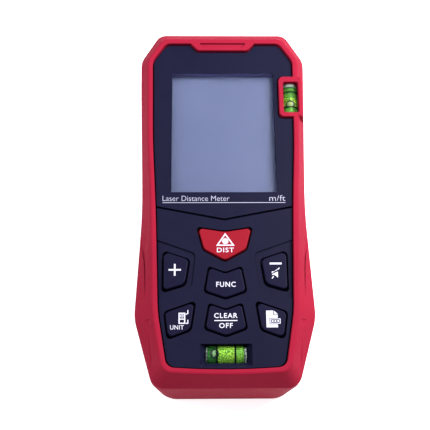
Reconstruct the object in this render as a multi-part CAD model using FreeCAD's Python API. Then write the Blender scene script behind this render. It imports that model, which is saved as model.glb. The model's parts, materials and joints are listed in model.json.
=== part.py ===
import FreeCAD, Part
import math
import os

# Pocket laser distance meter, lying on its back with the display up.
# Millimetres. X is the width, +Y runs from the rear datum end to the optics end, and the display faces +Z.
# The origin is under the middle of the case, on the plane that the back rests on.

V = FreeCAD.Vector
UP = V(0, 0, 1)

# ---- driving dimensions of the case ----
LENGTH = 118.0
HALF_LENGTH = LENGTH / 2
HIP_X = 27.5            # corner of the hip before it is rounded
LIP_Z = 28.0            # protective lip of the jacket; it sets the 28 mm thickness
KEY_TOP_Z = 27.5        # the keys stay below the lip
PANEL_Z = 27.0          # face of the keypad panel and of the display lens
BEVEL_Z = 21.2          # where the front bevel meets the upright sides
SEAM_Z = 17.5           # parting plane of the two case halves
TOP_BEVEL_Z = 23.8      # and where it meets the optics end, whose bevel is shallower
BACK_BEVEL_Z = 1.6
BACK_Z = 0.8            # back face of the rear housing, inside the jacket's resting rim

JACKET = 2.4            # jacket thickness on the sides
WALL = 1.8              # housing wall
LIP = 1.5               # width of the front lip
LIP_OUTER_ROUND = 0.9
LIP_INNER_ROUND = 0.3
BACK_BEVEL = 1.4
RIM = 5.0               # the resting rim reaches this far in from the outline

# Right halves of the outlines, from the optics end down to the datum end.
CASE_HALF = [(20.85, HALF_LENGTH), (26.95, 48.75), (26.25, 18.0), (25.65, -3.5),
             (HIP_X, -37.9), (21.6, -HALF_LENGTH), (0.0, -HALF_LENGTH)]
CASE_ROUND = [2.2, 2.2, 6.0, 8.0, 2.6, 3.6, 10.0]
BACK_CORNER = (20.0, -HALF_LENGTH)          # the corners of the datum end draw in towards the back
BACK_ROUND = [2.2, 2.2, 6.0, 8.0, 2.6, 5.2, 8.0]
INNER_ROUND = [2.2, 2.2, 6.0, 8.0, 2.6, 5.8, 8.0]
PANEL_HALF = [(18.6, 53.4), (22.9, 46.9), (22.45, 18.0), (21.2, -4.5),
              (20.15, -37.4), (17.4, -53.9), (0.0, -55.1)]
PANEL_ROUND = [1.5, 1.5, 6.0, 8.0, 3.0, 2.2, 14.0]
LIP_ROUND = [1.8, 2.0, 6.0, 8.0, 3.0, 2.9, 14.0]

# Facets of the side bevels: three corners on the bevel and the deepest point.
# Each place is its Y and its share of the way from the lip down to the upright side.
GRIP_DEPTH = 0.3
GRIPS = [
    ([(-12.0, 0.92), (-12.8, 0.2), (-33.4, 0.35)], (-18.0, 0.68)),
    ([(-43.0, 0.4), (-54.0, 0.3), (-54.0, 0.8)], (-50.5, 0.6)),
    ([(-39.2, 0.12), (-39.2, 0.55), (-42.0, 0.32)], (-39.9, 0.33)),
]

# ---- front panel ----
PANEL_THICK = 1.8
SHOULDER_Z = 25.4       # the jacket's lip lies on the housing from here up
SHOULDER = 0.9          # width of that shoulder round the panel
LENS_THICK = 1.2
LENS_FLOOR = 1.2
GROOVE = 0.4            # dark gap between the jacket's lip and the panel
LENS_GAP = 0.7          # the V-shaped joint between the lens and the keypad panel
VEE_EDGE_Y = -4.1
VEE_MID_Y = -8.3
WINDOW_X = 16.5
WINDOW_Y = (0.8, 42.7)
TAB = [(10.6, 53.5), (8.15, 50.8)]          # trapezoid tab of the jacket at the optics end
SLOT = [(7.55, 53.5), (6.35, 51.8)]
SLOT_DEPTH = 0.7

# ---- keypad: outlines of the right-hand or central keys, mirrored where needed ----
KEY_GAP = 0.55
KEY_FLANGE = 0.4
KEY_FLANGE_Z = (22.9, 24.4)
KEY_TRAVEL = 0.7
SIDE_UPPER_KEY = [(19.08, -17.9), (10.4, -20.9), (11.7, -29.3), (19.1, -31.55)]
SIDE_LOWER_KEY = [(18.6, -37.3), (8.6, -33.75), (10.05, -43.15), (17.4, -45.95)]
SIDE_ROUND = [1.9, 1.3, 1.5, 1.4]
LOWER_ROUND = [1.3, 1.7, 1.3, 1.6]
FUNCTION_KEY = [(5.15, -23.1), (6.65, -31.4), (0.0, -33.75), (0.0, -25.1)]
CLEAR_KEY = [(5.1, -34.5), (6.6, -42.7), (0.0, -45.15), (0.0, -36.4)]
MEASURE_KEY = [(8.87, -10.5), (6.85, -18.3), (0.0, -22.1), (0.0, -11.9)]
CENTRE_ROUND = [1.1, 1.1, 0.8, 0.9]
MEASURE_ROUND = [1.5, 1.1, 0.9, 1.4]
POCKET = [(22.0, -14.3), (8.8, -19.15), (10.05, -30.4), (22.0, -34.0)]
POCKET_ROUND = [0.0, 1.3, 2.4, 0.0]
POCKET_DEPTH = 0.5

# ---- boards ----
BOARD_Z = (18.2, 19.8)
DOME_RISE = 0.35
PLUNGER_R = 1.6
PLUNGER_Z = BOARD_Z[1] + DOME_RISE + KEY_TRAVEL + 0.1
MAT_Z = (21.3, 22.1)
LCD_X = 17.35
LCD_Y = (-1.1, 44.1)
LCD_TOP_Z = 24.5
LCD_GLASS = 1.3
BUZZER_AT = (0.0, -30.0)

# ---- spirit vials: the same 5.8 x 12 vial twice ----
VIAL_R = 2.9
VIAL_BORE = 2.25
VIAL_HALF = 6.0
PLUG = 0.8
MARK_AT = 2.7
MARK_WIDTH = 0.4
MARK_DEPTH = 0.15
BUBBLE_R = 1.35
BUBBLE_RISE = 0.8
BUBBLE_TRAVEL = 3.75
BOTTOM_VIAL = V(0, -49.65, 23.4)
BOTTOM_BUBBLE_AT = -3.4
SIDE_VIAL = V(21.9, 33.5, 23.6)
SIDE_BUBBLE_AT = -1.6
VIAL_POCKET = 0.1       # clearance between a vial and its pocket
FRAME_DRAFT = 0.9
SIDE_BULGE = [(18.0, 26.7), (25.3, 40.7)]   # opposite corners of the housing's seat for the side vial
BOTTOM_SEAT_Y = -46.2
FRAME_ROUND = [1.7, 0, 0, 1.7]
SIDE_FRAME = [(18.05, 26.6), (30.0, 26.6), (30.0, 41.1), (18.05, 41.1)]
SIDE_OPENING = [(19.55, 28.2), (24.4, 28.2), (24.4, 39.1), (19.55, 39.1)]
BOTTOM_OPENING = [(5.95, -52.2), (5.95, -46.95), (-5.95, -46.95), (-5.95, -52.2)]
BOTTOM_RECESS = [(7.65, -53.6), (7.65, -46.95), (-7.65, -46.95), (-7.65, -53.6)]

# ---- power ----
CELL_R = 5.15
CELL_X = 5.6
CELL_Z = 7.9
CELL_BODY = 43.3
NUB = 1.2
NUB_R = 1.9
BAY = [(-11.4, -48.0, 2.5), (11.4, 0.6, 13.6)]
BAY_WALL = 1.2
PLATE = 0.4
SPRING = 3.3            # compressed length
SPRING_R = 2.6
SPRING_WIRE = 0.35      # radius of the wire
DOOR_X = 12.9
DOOR_Y = (-52.6, 2.75)
DOOR_THICK = 1.6
DOOR_GAP = 0.25
LATCH_X = 4.0
PIVOT_R = 0.5
PIVOT_REACH = 1.0
HINGE_Y = DOOR_Y[0] + DOOR_THICK / 2
HINGE_Z = BACK_Z + DOOR_THICK / 2

# ---- optics ----
OPTIC_Z = 10.2
RECEIVER_X = 6.5
LASER_X = -10.0
BENCH_X = 15.5
BENCH_Y = (21.0, 54.8)
BENCH_PLATE = 1.4
BENCH_FOOT = 4.0        # the bench stands on three bosses
NOSE_X = 16.6
NOSE_Z = (3.6, 16.8)
NOSE_RECESS = 0.6
LENS_R = 6.5
EYE_R = 6.2
LASER_EYE_R = 2.6
BARREL_R = 3.2
COLLIMATOR_R = 2.2
BARREL_END_Y = 50.0
DIODE_Y = 33.0
LASER_TUBE_R = 4.4
LENS_Y = 51.0
SENSOR_Y = 26.0
SENSOR_R = 2.6
RECEIVER_TUBE_R = 7.2

# ---- fasteners and mounts ----
CASE_SCREWS = [(18.6, 47.2), (18.2, -4.3), (15.6, -48.9)]
BOARD_SCREWS = [(8.6, -6.3), (10.0, -50.4)]
BENCH_SCREWS = [(13.3, 23.2), (-13.3, 23.2), (-3.15, 46.0)]
BOSS_R = 2.4
SCREW_R = 1.0
HEAD_R = 1.9
HEAD_Z = (1.6, 3.0)     # heads of the case screws, sunk in the back
INSERT_AT = (0.0, 12.4)
INSERT_R = 4.5
INSERT_BORE = 2.55      # minor radius of a 1/4-20 UNC thread
INSERT_DEPTH = 6.4
POST_AT = (19.4, -54.8)  # steel post of the lanyard eye, in the right corner of the datum end
POST_R = 1.0
HOLLOW_R = 4.6
HOLLOW_Z = (4.0, 7.8)


# ---- outlines ----
def mirrored(half):
    """Closed outline from its right half; a point on the middle line is used once."""
    return half + [(-x, y) for x, y in reversed(half) if x > 0]


def mirrored_values(half, values):
    return values + [v for (x, _), v in zip(reversed(half), reversed(values)) if x > 0]


def unit(a, b):
    length = math.hypot(b[0] - a[0], b[1] - a[1])
    return (b[0] - a[0]) / length, (b[1] - a[1]) / length


def turns_clockwise(points):
    area = sum(a[0] * b[1] - b[0] * a[1] for a, b in zip(points, points[1:] + points[:1]))
    return area < 0


def inset(points, distance):
    """The outline moved inwards by a distance, or outwards by a negative one, with sharp corners."""
    side = 1 if turns_clockwise(points) else -1
    moved = []
    for before, here, after in zip(points[-1:] + points[:-1], points, points[1:] + points[:1]):
        (ax, ay), (bx, by) = unit(before, here), unit(here, after)
        nx, ny = side * (ay + by), -side * (ax + bx)
        share = distance * 2 / (nx * nx + ny * ny)
        moved.append((here[0] + nx * share, here[1] + ny * share))
    return moved


def wire(points, setbacks, z):
    """Closed wire at height z. Each corner is an arc that starts a setback before it."""
    edges = []
    ends = []
    neighbours = zip(points[-1:] + points[:-1], points, points[1:] + points[:1])
    for (before, here, after), back in zip(neighbours, setbacks):
        (ux, uy), (vx, vy) = unit(here, before), unit(here, after)
        start = V(here[0] + ux * back, here[1] + uy * back, z)
        end = V(here[0] + vx * back, here[1] + vy * back, z)
        bend = None
        bx, by = ux + vx, uy + vy
        across = math.hypot(bx, by)
        if back and across > 1e-6:
            half_angle = math.acos(across / 2)
            reach = back / math.cos(half_angle) - back * math.tan(half_angle)
            bend = V(here[0] + bx / across * reach, here[1] + by / across * reach, z)
        ends.append((start, bend, end, back))
    for (start, bend, end, back), (following, _, _, _) in zip(ends, ends[1:] + ends[:1]):
        if back and bend:
            edges.append(Part.Arc(start, bend, end).toShape())
        elif back:
            edges.append(Part.LineSegment(start, end).toShape())
        if end.distanceToPoint(following) > 1e-6:
            edges.append(Part.LineSegment(end, following).toShape())
    return Part.Wire(edges)


def prism(points, setbacks, low, high):
    if not isinstance(setbacks, list):
        setbacks = [setbacks] * len(points)
    return Part.Face(wire(points, setbacks, low)).extrude(V(0, 0, high - low))


def slope(low_points, low_setbacks, low, high_points, high_setbacks, high):
    """Solid between two outlines of the same number of corners."""
    sections = [wire(low_points, low_setbacks, low), wire(high_points, high_setbacks, high)]
    return Part.makeLoft(sections, True, True)


CASE = mirrored(CASE_HALF)
CASE_SETBACKS = mirrored_values(CASE_HALF, CASE_ROUND)
BACK = [(math.copysign(BACK_CORNER[0], x), y) if y < 1 - HALF_LENGTH and x else (x, y) for x, y in CASE]
BACK_SETBACKS = mirrored_values(CASE_HALF, BACK_ROUND)
INNER_SETBACKS = mirrored_values(CASE_HALF, INNER_ROUND)
PANEL = mirrored(PANEL_HALF)
PANEL_SETBACKS = mirrored_values(PANEL_HALF, PANEL_ROUND)
LIP_OUTLINE = inset(PANEL, -LIP)
LIP_SETBACKS = mirrored_values(PANEL_HALF, LIP_ROUND)


# ---- solids ----
def box(low, high):
    return Part.makeBox(high[0] - low[0], high[1] - low[1], high[2] - low[2], V(*low))


def rod(x, y, radius, low, high):
    return Part.makeCylinder(radius, high - low, V(x, y, low), UP)


def rod_y(x, z, radius, low, high):
    return Part.makeCylinder(radius, high - low, V(x, low, z), V(0, 1, 0))


def joined(*solids):
    return solids[0].fuse(list(solids[1:])).removeSplitter() if len(solids) > 1 else solids[0]


def less(solid, *cuts):
    return solid.cut(list(cuts))


def mirror_x(solid):
    return solid.mirror(V(0, 0, 0), V(1, 0, 0))


def level_edges(solid, z):
    return [e for e in solid.Edges if abs(e.BoundBox.ZMin - z) < 1e-4 and abs(e.BoundBox.ZMax - z) < 1e-4]


# ---- case ----
def tab_points():
    return mirrored(TAB)


def slot_points():
    return mirrored(SLOT)


def vee_region(shift):
    """Plan of everything on the optics side of the V-shaped joint, moved by a shift along Y."""
    reach = 30.0
    edge = VEE_EDGE_Y + (VEE_EDGE_Y - VEE_MID_Y) / PANEL_HALF[3][0] * (reach - PANEL_HALF[3][0])
    return mirrored([(reach, HALF_LENGTH), (reach, edge + shift), (0.0, VEE_MID_Y + shift)])


def inner_form(depth, low, high):
    """Upright prism inside the case outline by a depth."""
    return prism(inset(CASE, depth), INNER_SETBACKS, low, high)


def panel_form(low, high, gap=0.0):
    """Panel outline without the jacket's tab and vial frame, kept off them all by a gap."""
    panel = prism(inset(PANEL, gap), PANEL_SETBACKS, low, high)
    tab = prism(inset(tab_points(), -gap), [0, 0.8, 0.8, 0], low, high)
    frame = prism(inset(SIDE_FRAME, -gap), FRAME_ROUND, low, high)
    return less(panel, tab, frame)


def shouldered(depth, foot, top_outline, top):
    """Upright sides up to a foot height, then a slope that follows the bevel up to a top outline."""
    case = inset(CASE, depth)
    return joined(prism(case, INNER_SETBACKS, SEAM_Z, foot),
                  slope(case, INNER_SETBACKS, foot, top_outline, PANEL_SETBACKS, top))


def housing_form():
    """Outer form of the front housing, with the bulge that holds the side vial."""
    (x0, y0), (x1, y1) = SIDE_BULGE
    return joined(shouldered(JACKET, BEVEL_Z - 1.0, inset(PANEL, -SHOULDER), SHOULDER_Z),
                  panel_form(SHOULDER_Z, PANEL_Z, GROOVE), box((x0, y0, SEAM_Z), (x1, y1, SHOULDER_Z)))


def bevelled():
    """Front half of the case: upright sides, cut by a bevel that widens downwards from the lip.

    The bevel meets the sides at BEVEL_Z, and the optics end higher up, at TOP_BEVEL_Z."""
    skirt_z = BEVEL_Z - 1.2
    skirt = []
    for case, lip in zip(CASE, LIP_OUTLINE):
        meets_z = TOP_BEVEL_Z if case[1] > CASE_HALF[1][1] - 1.0 else BEVEL_Z
        reach = (LIP_Z - skirt_z) / (LIP_Z - meets_z)
        skirt.append((lip[0] + (case[0] - lip[0]) * reach, lip[1] + (case[1] - lip[1]) * reach))
    bevel = slope(skirt, CASE_SETBACKS, skirt_z, LIP_OUTLINE, LIP_SETBACKS, LIP_Z)
    below = prism(inset(skirt, -1.0), 0, SEAM_Z, skirt_z)
    return prism(CASE, CASE_SETBACKS, SEAM_Z, LIP_Z).common(bevel.fuse(below)).removeSplitter()


def bevel_foot(solid):
    """The nearly level edges where the bevel meets the sides."""
    found = []
    for edge in solid.Edges:
        bound = edge.BoundBox
        at_foot = bound.ZMin > BEVEL_Z - 0.6 and bound.ZMax < TOP_BEVEL_Z + 0.6
        if at_foot and bound.ZLength < 0.45 * bound.DiagonalLength:
            found.append(edge)
    return found


def outline_x(points, y):
    """Half width of an outline, given by its right half, at a Y."""
    for (ax, ay), (bx, by) in zip(points, points[1:]):
        if by <= y <= ay:
            return ax + (bx - ax) * (ay - y) / (ay - by)
    raise ValueError(y)


def on_bevel(y, share, depth=0.0):
    """Point of the right side bevel, some way down from the lip and sunk by a depth."""
    lip_x, case_x = outline_x(LIP_OUTLINE, y), outline_x(CASE_HALF, y)
    run, drop = case_x - lip_x, LIP_Z - BEVEL_Z
    length = math.hypot(run, drop)
    return V(lip_x + run * share - depth * drop / length, y, LIP_Z - drop * share - depth * run / length)


def facet_cutter(corners, deepest):
    """Tetrahedron that cuts a shallow three-sided facet into the right side bevel."""
    tip = on_bevel(*deepest, GRIP_DEPTH)
    far = [tip + (on_bevel(*corner) - tip) * 2.0 for corner in corners]
    sides = [(tip, a, b) for a, b in zip(far, far[1:] + far[:1])]
    faces = [Part.Face(Part.makePolygon([*points, points[0]])) for points in [far] + sides]
    return Part.Solid(Part.Shell(faces))


def grip_facets():
    cutters = []
    for corners, deepest in GRIPS:
        cutter = facet_cutter(corners, deepest)
        cutters += [cutter, mirror_x(cutter)]
    return cutters


def front_jacket():
    body = bevelled()
    body = body.makeFillet(1.0, bevel_foot(body))
    block = slope(CASE, CASE_SETBACKS, BEVEL_Z, inset(CASE, FRAME_DRAFT), CASE_SETBACKS, LIP_Z)
    frame = prism(SIDE_FRAME, FRAME_ROUND, BEVEL_Z, LIP_Z).common(block)
    body = joined(body, frame)
    body = less(body, panel_form(SHOULDER_Z, LIP_Z), housing_form(), vial_pocket(SIDE_VIAL, 90))
    body = less(body, prism(SIDE_OPENING, 0.6, SHOULDER_Z, LIP_Z))
    body = less(body, prism(slot_points(), 0.3, LIP_Z - SLOT_DEPTH, LIP_Z))
    return less(soft_lip(body), *grip_facets())


def lip_face(solid):
    level = [face for face in solid.Faces if face.BoundBox.ZMin > LIP_Z - 1e-4]
    return max(level, key=lambda face: face.Area)


def soft_lip(solid):
    """The solid with the edges of its lip rounded, the outer one most."""
    top = lip_face(solid)
    inner_wires = [w for w in top.Wires if not w.isSame(top.OuterWire)]
    solid = solid.makeFillet(LIP_INNER_ROUND, [e for w in inner_wires for e in w.Edges])
    return solid.makeFillet(LIP_OUTER_ROUND, lip_face(solid).OuterWire.Edges)


def softened(solid, z, radius):
    """The solid with its level edges at height z rounded."""
    return solid.makeFillet(radius, level_edges(solid, z))


def front_housing():
    body = less(housing_form(), prism(vee_region(-LENS_GAP / 2), 0, PANEL_Z - LENS_THICK, PANEL_Z))
    cavity = shouldered(JACKET + WALL, BEVEL_Z - 1.8, inset(PANEL, 0.5), PANEL_Z - PANEL_THICK)
    lens_floor = prism(vee_region(0), 0, PANEL_Z - LENS_THICK - LENS_FLOOR, PANEL_Z)
    (x0, y0), (x1, y1) = SIDE_BULGE
    side_seat = box((x0, y0, SEAM_Z), (x1, y1, SHOULDER_Z))
    bottom_seat = box((-7.4, -54.9, 20.4), (7.4, BOTTOM_SEAT_Y, PANEL_Z - PANEL_THICK))
    body = less(body, less(cavity, lens_floor, side_seat, bottom_seat, *front_bosses()))
    body = less(body, *(rod(x, y, SCREW_R, SEAM_Z, SEAM_Z + 5) for x, y in mirrored_places(CASE_SCREWS)))
    board_holes = [rod(x, y, SCREW_R, BOARD_Z[1], BOARD_Z[1] + 3) for x, y in mirrored_places(BOARD_SCREWS)]
    body = less(body, *board_holes)
    body = less(body, box((-WINDOW_X, WINDOW_Y[0], SHOULDER_Z - 2), (WINDOW_X, WINDOW_Y[1], PANEL_Z)))
    body = less(body, *(prism(points, setbacks, PANEL_Z - PANEL_THICK - 1, PANEL_Z)
                        for _, points, setbacks in keys()))
    pocket = prism(POCKET, POCKET_ROUND, PANEL_Z - POCKET_DEPTH, PANEL_Z)
    body = less(body, pocket, mirror_x(pocket))
    body = less(body, vial_pocket(SIDE_VIAL, 90), vial_pocket(BOTTOM_VIAL, 0))
    body = less(body, prism(SIDE_OPENING, 0.6, SIDE_VIAL.z, SHOULDER_Z))
    recess = slope(BOTTOM_OPENING, [0.3] * 4, BOTTOM_VIAL.z + 1.3, BOTTOM_RECESS, [0.4] * 4, PANEL_Z)
    opening = prism(BOTTOM_OPENING, 0.3, BOTTOM_VIAL.z, BOTTOM_VIAL.z + 1.3)
    return less(body, recess, opening)


def front_bosses():
    roof = PANEL_Z - PANEL_THICK
    bosses = [rod(x, y, BOSS_R, SEAM_Z, roof) for x, y in mirrored_places(CASE_SCREWS)]
    return bosses + [rod(x, y, BOSS_R - 0.5, BOARD_Z[1], roof) for x, y in mirrored_places(BOARD_SCREWS)]


def mirrored_places(places):
    return [(side * x, y) for x, y in places for side in (1, -1)]


def display_lens():
    plate = prism(vee_region(LENS_GAP / 2), 0, PANEL_Z - LENS_THICK, PANEL_Z)
    return plate.common(panel_form(PANEL_Z - LENS_THICK, PANEL_Z, GROOVE))


def rear_jacket():
    body = joined(slope(BACK, BACK_SETBACKS, BACK_BEVEL_Z, CASE, CASE_SETBACKS, SEAM_Z),
                  slope(inset(BACK, BACK_BEVEL), BACK_SETBACKS, 0, BACK, BACK_SETBACKS, BACK_BEVEL_Z))
    body = body.makeFillet(0.7, level_edges(body, BACK_BEVEL_Z))
    body = body.makeFillet(0.5, level_edges(body, 0))
    body = less(body, inner_form(JACKET, BACK_Z, SEAM_Z), inner_form(RIM, 0, BACK_Z))
    return less(body, nose_opening(), lanyard_hollow(), lanyard_post())


def nose_opening():
    x, (low, high) = NOSE_X, NOSE_Z
    opening = box((-x, BENCH_Y[1] - 3, low), (x, HALF_LENGTH, high))
    return opening.makeFillet(1.6, [e for e in opening.Edges if e.BoundBox.YLength > 3])


def lanyard_hollow():
    x, y = POST_AT
    return less(rod(x, y, HOLLOW_R, *HOLLOW_Z), lanyard_post())


def lanyard_post():
    x, y = POST_AT
    return rod(x, y, POST_R, HOLLOW_Z[0] - 1.0, HOLLOW_Z[1] + 1.0)


def rear_housing():
    floor = BACK_Z + WALL
    (x0, y0, z0), (x1, y1, z1) = BAY
    x, y = POST_AT
    shell = less(inner_form(JACKET, BACK_Z, SEAM_Z), inner_form(JACKET + WALL, floor, SEAM_Z))
    inside = inner_form(JACKET, BACK_Z, SEAM_Z)
    bay = box((x0 - BAY_WALL, y0 - BAY_WALL, BACK_Z), (x1 + BAY_WALL, y1 + BAY_WALL, z1 + BAY_WALL))
    ledge = box((-DOOR_X - 1.5, DOOR_Y[0] - 1.5, BACK_Z), (DOOR_X + 1.5, DOOR_Y[1] + 1.5, floor + 1.2))
    corner = rod(x, y, HOLLOW_R + 1.2, BACK_Z, HOLLOW_Z[1] + 1.2).common(inside)
    shell = joined(shell, bay, ledge.common(inside), corner, *rear_bosses())
    shell = less(shell, box((x0, y0, BACK_Z), (x1, y1, z1)), door_opening())
    shell = less(shell, lanyard_hollow(), lanyard_post())
    for x, y in mirrored_places(CASE_SCREWS):
        shank_hole = rod(x, y, SCREW_R + 0.1, HEAD_Z[1], SEAM_Z)
        shell = less(shell, shank_hole, rod(x, y, HEAD_R + 0.2, BACK_Z, HEAD_Z[1]))
    shell = less(shell, *(rod(x, y, SCREW_R, BENCH_FOOT - 2.4, BENCH_FOOT) for x, y in BENCH_SCREWS))
    x, y = INSERT_AT
    shell = less(shell, rod(x, y, INSERT_R, BACK_Z, BACK_Z + INSERT_DEPTH), nose_opening())
    return less(shell, *terminal_tails(0.3))


def rear_bosses():
    bosses = [rod(x, y, BOSS_R, BACK_Z, SEAM_Z) for x, y in mirrored_places(CASE_SCREWS)]
    bosses += [rod(x, y, BOSS_R, BACK_Z, BENCH_FOOT) for x, y in BENCH_SCREWS]
    return bosses + [rod(*INSERT_AT, INSERT_R + 1.4, BACK_Z, BACK_Z + INSERT_DEPTH + 1.4)]


def door_opening():
    """Space for the door: its outline with a gap, the finger notch and the sockets of its two pivots."""
    gap = DOOR_GAP
    x, y0, y1 = DOOR_X + gap, DOOR_Y[0] - gap, DOOR_Y[1] + gap
    hole = box((-x, y0, BACK_Z), (x, y1, BACK_Z + DOOR_THICK + 0.1))
    sockets = pivots(PIVOT_R + 0.06, PIVOT_REACH + 0.2)
    notch = Part.makeSphere(6.0, V(0, DOOR_Y[1] + 0.5, BACK_Z - 4.9))
    latch_space = box((-LATCH_X - gap, DOOR_Y[1] - 2.0, BACK_Z), (LATCH_X + gap, y1, BACK_Z + 4.6))
    return joined(hole, sockets, notch, latch_space)


def pivots(radius, reach):
    axis = V(-DOOR_X - reach, HINGE_Y, HINGE_Z)
    return Part.makeCylinder(radius, 2 * (DOOR_X + reach), axis, V(1, 0, 0))


def battery_door():
    """Cover of the battery bay, carried by two nubs at the datum end, with a snap tongue at the other."""
    plate = box((-DOOR_X, HINGE_Y, BACK_Z), (DOOR_X, DOOR_Y[1], BACK_Z + DOOR_THICK))
    edge = Part.makeCylinder(DOOR_THICK / 2, 2 * DOOR_X, V(-DOOR_X, HINGE_Y, HINGE_Z), V(1, 0, 0))
    tongue = box((-LATCH_X, DOOR_Y[1] - 1.4, BACK_Z), (LATCH_X, DOOR_Y[1] - 0.2, BACK_Z + 3.6))
    grooves = []
    for i in range(5):
        y = DOOR_Y[1] - 4.0 - 1.6 * i
        grooves.append(box((-6.0, y - 0.4, BACK_Z), (6.0, y + 0.4, BACK_Z + 0.4)))
    return less(joined(plate, edge, pivots(PIVOT_R, PIVOT_REACH), tongue), *grooves)


# ---- keypad ----
def centre_outline(half):
    """Full outline of a key on the middle line: two shoulders, two lower corners, a tip and a notch."""
    (ax, ay), (bx, by), tip, notch = half
    return [(ax, ay), (bx, by), tip, (-bx, by), (-ax, ay), notch]


def centre_rounds(rounds):
    shoulder, lower, tip, notch = rounds
    return [shoulder, lower, tip, lower, shoulder, notch]


def flipped(points):
    return [(-x, y) for x, y in points]


def keys():
    """Name, panel hole and corner rounds of each key."""
    return [
        ("measure_key", centre_outline(MEASURE_KEY), centre_rounds(MEASURE_ROUND)),
        ("function_key", centre_outline(FUNCTION_KEY), centre_rounds(CENTRE_ROUND)),
        ("clear_key", centre_outline(CLEAR_KEY), centre_rounds(CENTRE_ROUND)),
        ("plus_key", flipped(SIDE_UPPER_KEY), SIDE_ROUND),
        ("minus_key", SIDE_UPPER_KEY, SIDE_ROUND),
        ("unit_key", flipped(SIDE_LOWER_KEY), LOWER_ROUND),
        ("memory_key", SIDE_LOWER_KEY, LOWER_ROUND),
    ]


def middle(points):
    return sum(x for x, _ in points) / len(points), sum(y for _, y in points) / len(points)


def key_cap(points, setbacks):
    """Key cap with its retaining flange under the panel and its plunger over the dome."""
    x, y = middle(points)
    cap = prism(inset(points, KEY_GAP), setbacks, KEY_FLANGE_Z[1], KEY_TOP_Z)
    cap = softened(cap, KEY_TOP_Z, 0.35)
    flange = prism(inset(points, -KEY_FLANGE), setbacks, *KEY_FLANGE_Z)
    return joined(cap, flange, rod(x, y, PLUNGER_R, PLUNGER_Z, KEY_FLANGE_Z[0]))


def keypad_mat():
    """Rubber mat under the keys, standing on the board on a rim, with a hole for each plunger."""
    area = box((-22, -45.8, BOARD_Z[1]), (22, -9.4, MAT_Z[1]))
    block = prism(PANEL, PANEL_SETBACKS, BOARD_Z[1], MAT_Z[1]).common(area)
    rim = prism(inset(PANEL, 1.2), PANEL_SETBACKS, BOARD_Z[1], MAT_Z[0])
    inner = rim.common(box((-22, -44.6, BOARD_Z[1]), (22, -10.6, MAT_Z[0])))
    holes = [rod(*middle(points), PLUNGER_R + 0.3, BOARD_Z[1], MAT_Z[1]) for _, points, _ in keys()]
    return less(block, inner, *holes)


def key_domes():
    return [Part.makeCone(3.0, 1.2, DOME_RISE, V(*middle(points), BOARD_Z[1])) for _, points, _ in keys()]


# ---- electronics ----
def main_board():
    board = inner_form(JACKET + WALL + 0.4, *BOARD_Z)
    low, high = BOARD_Z
    gaps = [rod(x, y, BOSS_R + 0.3, low, high) for x, y in mirrored_places(CASE_SCREWS)]
    gaps += [rod(x, y, SCREW_R, low, high) for x, y in mirrored_places(BOARD_SCREWS)]
    (x0, y0), (_, y1) = SIDE_BULGE
    return less(board, box((x0 - 0.3, y0 - 0.3, low), (30, y1 + 0.3, high)), *gaps)


def board_chips():
    """Processor, measuring chip, supply chips and coil on the underside of the board."""
    top = BOARD_Z[0]
    places = [(-14.0, 12.0, 7.0, 7.0, 1.0), (8.0, 13.0, 5.0, 5.0, 0.9), (-16.6, -14.0, 4.0, 3.0, 1.1),
              (16.4, -16.0, 4.0, 4.0, 1.8), (15.8, 8.0, 3.2, 5.0, 1.0)]
    return [box((x - a / 2, y - b / 2, top - h), (x + a / 2, y + b / 2, top)) for x, y, a, b, h in places]


def buzzer():
    top = BOARD_Z[0]
    sound_port = rod(*BUZZER_AT, 0.8, top - 2.6, top - 2.0)
    return less(rod(*BUZZER_AT, 4.6, top - 2.6, top), sound_port)


def lcd_frame():
    x, (y0, y1) = LCD_X, LCD_Y
    low, high = BOARD_Z[1], LCD_TOP_Z
    wall = 0.45
    outside = box((-x - wall, y0 - wall, low), (x + wall, y1 + wall, high))
    return less(outside, box((-x, y0, low), (x, y1, high)))


def lcd_panel():
    x, (y0, y1) = LCD_X - 0.05, LCD_Y
    return box((-x, y0 + 0.05, LCD_TOP_Z - LCD_GLASS), (x, y1 - 0.05, LCD_TOP_Z))


def lcd_backlight():
    low, high = BOARD_Z[1] + 0.1, LCD_TOP_Z - LCD_GLASS - 0.1
    return box((-LCD_X + 0.1, LCD_Y[0] + 2.7, low), (LCD_X - 0.1, LCD_Y[1] - 0.1, high))


def lcd_connector():
    """Striped rubber bar between the board and the ledge of the display glass."""
    return box((-15.0, LCD_Y[0] + 0.4, BOARD_Z[1]), (15.0, LCD_Y[0] + 2.2, LCD_TOP_Z - LCD_GLASS))


# ---- spirit vials ----
def rod_x(radius, low, high):
    return Part.makeCylinder(radius, high - low, V(low, 0, 0), V(1, 0, 0))


def placed(solid, at, turn):
    solid = solid.copy()
    solid.rotate(V(0, 0, 0), UP, turn)
    solid.translate(at)
    return solid


def vial_pocket(at, turn):
    """Pocket of a vial, open downwards so that the vial can be put in from inside the case."""
    radius, end = VIAL_R + VIAL_POCKET, VIAL_HALF + VIAL_POCKET
    pocket = joined(rod_x(radius, -end, end), box((-end, -radius, SEAM_Z - at.z), (end, radius, 0)))
    return placed(pocket, at, turn)


def vial_marks():
    rings = []
    for x in (-MARK_AT, MARK_AT):
        low, high = x - MARK_WIDTH / 2, x + MARK_WIDTH / 2
        rings.append(less(rod_x(VIAL_R, low, high), rod_x(VIAL_R - MARK_DEPTH, low, high)))
    return rings


def vial_tube():
    bore = rod_x(VIAL_BORE, -VIAL_HALF, VIAL_HALF)
    return less(rod_x(VIAL_R, -VIAL_HALF, VIAL_HALF), bore, *vial_marks())


def vial_plugs():
    return [rod_x(VIAL_BORE, -VIAL_HALF, PLUG - VIAL_HALF), rod_x(VIAL_BORE, VIAL_HALF - PLUG, VIAL_HALF)]


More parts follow.
